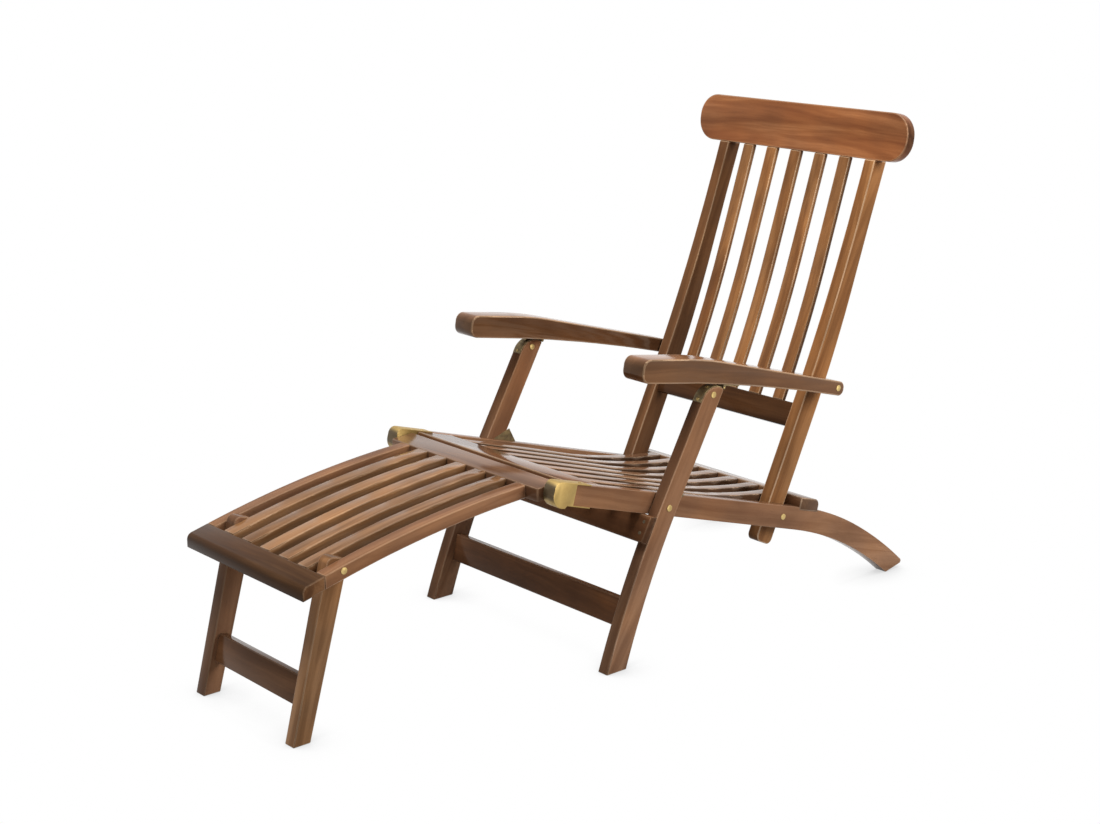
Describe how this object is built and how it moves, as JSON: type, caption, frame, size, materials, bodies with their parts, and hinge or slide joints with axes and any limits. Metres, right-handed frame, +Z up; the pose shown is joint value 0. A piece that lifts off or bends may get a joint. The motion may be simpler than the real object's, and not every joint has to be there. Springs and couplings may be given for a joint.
{
  "type": "deck chair",
  "caption": "Folding steamer deck chair in wood and brass: dished slatted seat, reclined slatted back, curved arms, crossing legs and a hinged slatted footrest with its own legs.",
  "frame": {"origin": "on the floor, under the middle of the whole chair's length and width", "axes": "+X to the back of the chair, +Y to the sitter's right, +Z up"},
  "size_m": [1.6328, 0.628, 1.0675],
  "materials": {
    "frame_wood": "oiled",
    "slat_wood": "oiled",
    "head_wood": "oiled",
    "brass": "satin"
  },
  "bodies": {
    "left_arm": {"arm_back_pin_left": "brass", "arm_leaf_left": "brass", "arm_leaf_screws_left": "brass", "arm_left": "frame_wood"},
    "right_arm": {"arm_back_pin_right": "brass", "arm_leaf_right": "brass", "arm_leaf_screws_right": "brass", "arm_right": "frame_wood"},
    "leg_frame": {"arm_hinge_pins": "brass", "leg_left": "frame_wood", "leg_right": "frame_wood", "leg_stop_board": "frame_wood", "leg_strap_left": "brass", "leg_strap_right": "brass", "leg_strap_screws": "brass", "leg_stretcher": "frame_wood", "leg_top_rivets": "brass", "stop_board_screws": "brass"},
    "seat_frame": {"back_pivot_pins": "brass", "back_spacer_washers": "brass", "hinge_cap_left": "brass", "hinge_cap_right": "brass", "hinge_cap_screws": "brass", "leg_pivot_pins": "brass", "pivot_plates": "brass", "seat_front_rail": "frame_wood", "seat_rail_left": "frame_wood", "seat_rail_right": "frame_wood", "seat_rear_rail": "frame_wood", "seat_slat_1": "slat_wood", "seat_slat_2": "slat_wood", "seat_slat_3": "slat_wood", "seat_slat_4": "slat_wood", "seat_slat_5": "slat_wood", "seat_slat_6": "slat_wood", "seat_slat_7": "slat_wood"},
    "back_frame": {"back_post_left": "frame_wood", "back_post_right": "frame_wood", "back_slat_1": "slat_wood", "back_slat_2": "slat_wood", "back_slat_3": "slat_wood", "back_slat_4": "slat_wood", "back_slat_5": "slat_wood", "head_rail": "head_wood", "lower_back_rail": "frame_wood"},
    "footrest_panel": {"footrest_front_rail": "frame_wood", "footrest_hinge_pins": "brass", "footrest_leg_pins": "brass", "footrest_rail_left": "frame_wood", "footrest_rail_right": "frame_wood", "footrest_rear_rail": "frame_wood", "footrest_slat_1": "slat_wood", "footrest_slat_2": "slat_wood", "footrest_slat_3": "slat_wood", "footrest_slat_4": "slat_wood", "footrest_slat_5": "slat_wood"},
    "footrest_leg_frame": {"footrest_leg_left": "frame_wood", "footrest_leg_right": "frame_wood", "footrest_leg_stretcher": "frame_wood"}
  },
  "joints": [
    {"name": "leg_hinge", "type": "hinge", "parent": "seat_frame", "child": "leg_frame", "pos_m": [0.0224, 0, 0.3205], "axis": [0, -1, 0], "range_deg": [0, 88]},
    {"name": "back_hinge", "type": "hinge", "parent": "seat_frame", "child": "back_frame", "pos_m": [0.40055, 0, 0.21349], "axis": [0, -1, 0], "range_deg": [0, 82.45]},
    {"name": "left_arm_hinge", "type": "hinge", "parent": "leg_frame", "child": "left_arm", "pos_m": [0.17749, 0, 0.54737], "axis": [0, -1, 0], "range_deg": [-94.84, 0]},
    {"name": "right_arm_hinge", "type": "hinge", "parent": "leg_frame", "child": "right_arm", "pos_m": [0.17749, 0, 0.54737], "axis": [0, -1, 0], "range_deg": [-94.84, 0]},
    {"name": "footrest_hinge", "type": "hinge", "parent": "seat_frame", "child": "footrest_panel", "pos_m": [-0.2374, 0, 0.39402], "axis": [0, 1, 0], "range_deg": [0, 56]},
    {"name": "footrest_leg_hinge", "type": "hinge", "parent": "footrest_panel", "child": "footrest_leg_frame", "pos_m": [-0.7123, 0, 0.33252], "axis": [0, -1, 0], "range_deg": [0, 104]}
  ],
  "couplings": [
    {"joint": "back_hinge", "follows": "leg_hinge", "ratio": 0.93688},
    {"joint": "left_arm_hinge", "follows": "leg_hinge", "ratio": -1.0777},
    {"joint": "right_arm_hinge", "follows": "leg_hinge", "ratio": -1.0777}
  ]
}
